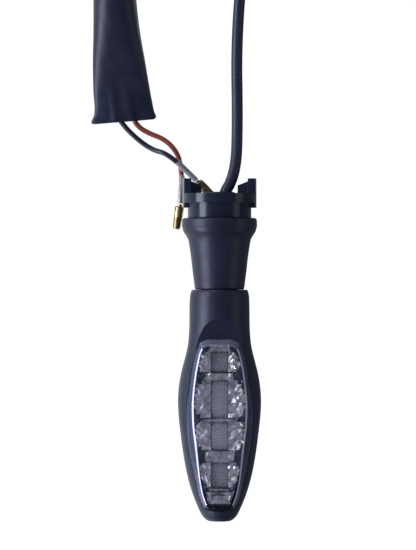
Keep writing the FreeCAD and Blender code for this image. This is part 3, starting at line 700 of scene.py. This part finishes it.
def lens_skin(inset, edge_z, front_z):
    """Rings of one skin of the lens, from the middle of its front out and down to its lower edge."""
    rim, facet = closed_outline(LENS_RIM, inset), closed_outline(LENS_FACET, inset)
    middle = Vector(LENS_MIDDLE)
    rings = [[(*(middle + (point - middle) * size), front_z) for point in facet]
             for size in reversed(LENS_FRONT_SIZES)]
    for distance, depth in reversed(LENS_FRONT):
        rings.append([(*point, front_z - depth) for point in closed_outline(LENS_FACET, inset + distance)])
    for share, lift in reversed(LENS_BEVEL):
        z = edge_z + share * (front_z - edge_z) + lift
        rings.append([(*(a + (b - a) * share), z) for a, b in zip(rim, facet)])
    rings.append([(*point, LENS_LOW) for point in rim])
    return rings


def make_lens(materials):
    """Clear cover with a raised front facet: two skins a wall apart."""
    outer = lens_skin(LENS_CLEARANCE, LENS_EDGE_Z, LENS_FRONT_Z)
    inner = lens_skin(LENS_WALL, LENS_EDGE_Z - LENS_EDGE_STEP, LENS_FRONT_Z - LENS_WALL)
    rings = outer + list(reversed(inner))
    lens = rings_object("lens_cover", rings)
    sharpen(lens, 50)
    paint(lens, materials["lens"])
    # A band is the faces between two rings, counted outwards from the middle of the front. The facet's
    # edge starts at facet_band, and rim_band is the bevel's last.
    facet_band = len(LENS_FRONT_SIZES) + 1
    rim_band = len(LENS_FRONT_SIZES) + len(LENS_FRONT) + len(LENS_BEVEL) - 2
    size = len(rings[0])
    # Painted highlight on the facet's edge and the rim, a painted bluish reflection on the side walls between
    # them, and painted highlight across the upper end.
    painted_highlight_bands = [facet_band, facet_band + 1, facet_band + 2, rim_band]
    paint_bands(lens, size, painted_highlight_bands, materials["lens_edge_painted_highlight"], runs_lengthwise)
    paint_bands(lens, size, range(facet_band + 3, rim_band), materials["lens_side_painted_reflection"], runs_lengthwise)
    paint_bands(lens, size, range(facet_band + 1, rim_band), materials["lens_top_painted_highlight"], at_upper_end)
    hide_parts("lens")
    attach(lens, "head")


def rim_half_width(y):
    """Half width of the lens rim at one height."""
    for (x0, y0), (x1, y1) in zip(LENS_RIM, LENS_RIM[1:]):
        if y1 <= y <= y0:
            return x0 + (x1 - x0) * (y - y0) / (y1 - y0)
    return 0.0


def tray_rows():
    """Heights of the reflector's rows of points, each with the bowl that it belongs to."""
    rows = []
    start = TRAY_ENDS[0]
    for high, low in BOWLS + [TAIL_BOWL]:
        rows += [(y, None) for y in stations(start, high, FACET_LENGTH)]
        bowl = ((high + low) / 2, (high - low) / 2)
        rows += [(y, bowl) for y in stations(high - WELL_MARGIN, low + WELL_MARGIN, FACET_LENGTH)]
        start = low
    rows += [(y, None) for y in stations(start, TRAY_ENDS[1], FACET_LENGTH)]
    return rows


def tray_columns(y):
    """The x of each point in a row: evenly spaced out from the well in the middle to the tray's edge."""
    edge = rim_half_width(y) - TRAY_INSET
    right = [WELL_HALF_W + (edge - WELL_HALF_W) * k / FACET_COLUMNS for k in range(FACET_COLUMNS + 1)]
    return [-x for x in reversed(right)] + [0.0] + right


def tray_height(x, y, bowl, draw):
    """Height of the reflector's faceted surface at one point."""
    if bowl is None:
        return TRAY_TOP - draw.uniform(0.0, 2 * FACET_JITTER)
    middle, half = bowl
    edge = rim_half_width(y) - TRAY_INSET
    out = min(max((abs(x) - WELL_HALF_W) / (edge - WELL_HALF_W), 0.0), 1.0)
    end = abs(y - middle) / half
    rise = max(out ** BOWL_SIDE_CURVE, end ** BOWL_END_CURVE)
    height = WELL_Z + (TRAY_TOP - WELL_Z) * rise
    height += draw.uniform(-FACET_JITTER, FACET_JITTER)
    return min(max(height, WELL_Z), TRAY_TOP)


def tray_points(rows, draw):
    """Points of the tray's top and underside; inner ones off the wells are moved a little sideways."""
    tops, undersides = [], []
    for row, (y, bowl) in enumerate(rows):
        columns = tray_columns(y)
        for column, x in enumerate(columns):
            inside = 0 < row < len(rows) - 1 and 0 < column < len(columns) - 1
            on_well = abs(abs(x) - WELL_HALF_W) < TOLERANCE or x == 0.0
            sway = draw.uniform(-FACET_SWAY, FACET_SWAY) if inside and not on_well else 0.0
            tops.append((x + sway, y, tray_height(x, y, bowl, draw)))
            undersides.append((x + sway, y, TRAY_LOW))
    return tops, undersides


def tray_cells(rows):
    """The tray's cells outside the wells, each with the bowls of its upper and its lower row."""
    width = len(tray_columns(rows[0][0]))
    centre = FACET_COLUMNS + 1
    wells = [(high - WELL_MARGIN, low + WELL_MARGIN) for high, low in BOWLS]
    cells, bowls = [], []
    for row, (upper, lower) in enumerate(zip(rows, rows[1:])):
        in_well = any(upper[0] <= high + TOLERANCE and lower[0] >= low - TOLERANCE for high, low in wells)
        for column in range(width - 1):
            if in_well and column in (centre - 1, centre):
                continue
            a = row * width + column
            cells.append((a, a + 1, a + 1 + width, a + width))
            bowls.append((upper[1], lower[1]))
    return cells, bowls


def make_reflector(materials):
    """Metallised tray: crumpled facets round each light block's well, as one closed mesh."""
    draw = random.Random(FACET_SEED)
    rows = tray_rows()
    tops, undersides = tray_points(rows, draw)
    cells, bowls = tray_cells(rows)
    # The second look is painted shade between the bowls.
    looks = (materials["reflector"], materials["tray_painted_shade"])
    tray = tray_shell(tops, undersides, cells, bowls, draw, looks)
    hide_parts("reflector")
    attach(tray, "head")
    return tray


def outside_bowl(corners, bowl_above, bowl_below):
    """Whether a face of the tray lies between the rounded bowls, where the tray is painted darker as shade.
    """
    if bowl_above is not None and bowl_below is None:
        return True
    x = sum(abs(corner[0]) for corner in corners) / len(corners)
    y = sum(corner[1] for corner in corners) / len(corners)
    edge = rim_half_width(y) - TRAY_INSET
    bowl = bowl_above or bowl_below
    share = abs(y - bowl[0]) / bowl[1] if bowl else 1.0
    return x > edge * (BOWL_SHARE - BOWL_ROUNDING * min(share, 1.0) ** BOWL_ROUNDNESS)


def tray_shell(tops, undersides, cells, bowls, draw, looks):
    """Closed mesh between two sheets of points. Each cell is split along a drawn diagonal, and its halves
    outside the bowls have the second look, a darker copy of the metal painted as shade.
    """
    shift = len(tops)
    faces, slots, edges = [], [], set()
    for (a, b, c, d), (above, below) in zip(cells, bowls):
        halves = [(a, b, c), (a, c, d)] if draw.random() < 0.5 else [(a, b, d), (b, c, d)]
        faces += halves
        slots += [int(outside_bowl([tops[index] for index in half], above, below)) for half in halves]
        edges.update(((a, b), (b, c), (c, d), (d, a)))
    for cell in cells:
        faces.append(tuple(index + shift for index in reversed(cell)))
    for start, end in sorted(edges):
        if (end, start) not in edges:
            faces.append((end, start, start + shift, end + shift))
    shell = mesh_object("reflector_tray", tops + undersides, faces, smooth=False)
    paint(shell, looks[0])
    shell.data.materials.append(looks[1])
    for polygon, slot in zip(shell.data.polygons, slots):
        polygon.material_index = slot
    return shell


def block_side(top_y, bottom_y):
    """Side view of a light block: two feet below and a row of ribs above, as (y, z) points."""
    side = [(top_y, BOARD_TOP), (top_y - BLOCK_FOOT_L, BOARD_TOP), (top_y - BLOCK_FOOT_L, BLOCK_LOW),
            (bottom_y + BLOCK_FOOT_L, BLOCK_LOW), (bottom_y + BLOCK_FOOT_L, BOARD_TOP), (bottom_y, BOARD_TOP)]
    count = RIB_POINTS * round((top_y - bottom_y) / RIB_PITCH)
    for i in range(count + 1):
        wave = (1 - math.cos(TAU * i / RIB_POINTS)) / 2
        side.append((bottom_y + (top_y - bottom_y) * i / count, BLOCK_TOP - RIB_HEIGHT + RIB_HEIGHT * wave))
    return side


def make_light_blocks(materials):
    """Clear ribbed blocks that spread the light, each on two feet."""
    for number, (high, low) in enumerate(BOWLS, start=1):
        side = block_side(high - BLOCK_MARGIN, low + BLOCK_MARGIN)
        points = [(x, y, z) for x in (-BLOCK_HALF_W, BLOCK_HALF_W) for y, z in side]
        faces = ring_faces(2, len(side), False)
        faces += [tuple(range(len(side))), tuple(range(len(side), 2 * len(side)))]
        block = mesh_object("light_block_body_%d" % number, points, faces)
        rounding = block.modifiers.new("rounding", "BEVEL")
        rounding.width = BLOCK_ROUNDING * MM
        rounding.segments = 2
        rounding.angle_limit = math.radians(60)
        apply_modifiers(block)
        sharpen(block, 60)
        paint(block, materials["light_block"])
        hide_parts("light_block_%d" % number)
        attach(block, "head")


# ---------------------------------------------------------------- stage

def floor_half(name, x_low, x_high, material):
    """One half of the floor, between two x in metres."""
    mesh = bpy.data.meshes.new(name)
    z = (FLOOR_Z - FLOOR_DROP) * MM
    corners = [(x_low, -FLOOR_SIZE, z), (x_high, -FLOOR_SIZE, z), (x_high, FLOOR_SIZE, z),
               (x_low, FLOOR_SIZE, z)]
    mesh.from_pydata(corners, [], [(0, 1, 2, 3)])
    floor = new_object(name, mesh)
    paint(floor, material)
    return floor


def light_only(source, objects, state):
    """Make a light or a glowing object light only some objects, or all but those."""
    receivers = bpy.data.collections.new(source.name + "_receivers")
    for number, obj in enumerate(objects):
        receivers.objects.link(obj)
        receivers.collection_objects[number].light_linking.link_state = state
    source.light_linking.receiver_collection = receivers


def make_floor():
    """Pale glowing floor in two halves. The left half's glow reaches the object; the right half's doesn't."""
    material, tree, shader = surface("floor_paint", (0.9, 0.9, 0.9), 0.9, specular=0.0)
    tint(tree, shader, noise(tree, 3.0), (0.88, 0.88, 0.88), (0.92, 0.92, 0.92))
    shader.inputs["Emission Color"].default_value = FLOOR_COLOUR
    shader.inputs["Emission Strength"].default_value = FLOOR_GLOW
    left = floor_half("floor_left", -FLOOR_SIZE, 0.0, material)
    right = floor_half("floor_right", 0.0, FLOOR_SIZE, material)
    light_only(right, [left, right], "INCLUDE")
    return [left, right]


def make_stage(tray):
    """Pale floor, studio lights and the camera. The lights leave the floor out, the key light leaves the
    reflector out, and the reflector takes its glints from the sparkle light.
    """
    floor = make_floor()
    centre = metres((VIEW_CENTRE[0], VIEW_CENTRE[1], 0))
    for name, place, length, height, power, colour in LIGHTS:
        lamp = add_light(name, centre + Vector(place), centre, length, height, power, colour)
        if name == "sparkle":
            light_only(lamp, [tray], "INCLUDE")
        elif name == "key":
            light_only(lamp, floor + [tray], "EXCLUDE")
        else:
            light_only(lamp, floor, "EXCLUDE")
    world = bpy.data.worlds.new("studio")
    world.use_nodes = True
    world.node_tree.nodes["Background"].inputs["Color"].default_value = WORLD_COLOUR
    world.node_tree.nodes["Background"].inputs["Strength"].default_value = WORLD_LIGHT
    bpy.context.scene.world = world
    bpy.context.scene.view_settings.view_transform = "Standard"
    camera_data = bpy.data.cameras.new("camera")
    camera_data.sensor_fit = "VERTICAL"
    camera_data.sensor_height = SENSOR_HEIGHT
    camera_data.lens = SENSOR_HEIGHT * CAMERA_DISTANCE / VIEW_HEIGHT
    camera = new_object("camera", camera_data)
    camera.location = centre + Vector((0, 0, CAMERA_DISTANCE * MM))
    bpy.context.scene.camera = camera


def add_light(name, place, target, length, height, power, colour):
    """Oblong area light that faces a target, its length along Y."""
    data = bpy.data.lights.new(name, "AREA")
    data.shape = "RECTANGLE"
    data.size = length
    data.size_y = height
    data.energy = power
    data.color = colour
    lamp = new_object(name, data)
    lamp.location = place
    forward = (target - place).normalized()
    across = Vector((0, 1, 0))
    axes = Matrix((across, across.cross(forward).normalized(), -forward))
    lamp.rotation_euler = axes.transposed().to_euler()
    return lamp


# ---------------------------------------------------------------- everything

def main():
    """Paint the CAD nodes, make every detailed piece, then the stage."""
    materials = make_materials()
    for node, key in NODE_MATERIALS.items():
        paint(NODES[node], materials[key])
    make_cords(materials)
    make_stalk(materials)
    make_inner_lead(materials)
    make_base(materials)
    make_lens(materials)
    tray = make_reflector(materials)
    make_light_blocks(materials)
    make_stage(tray)


main()
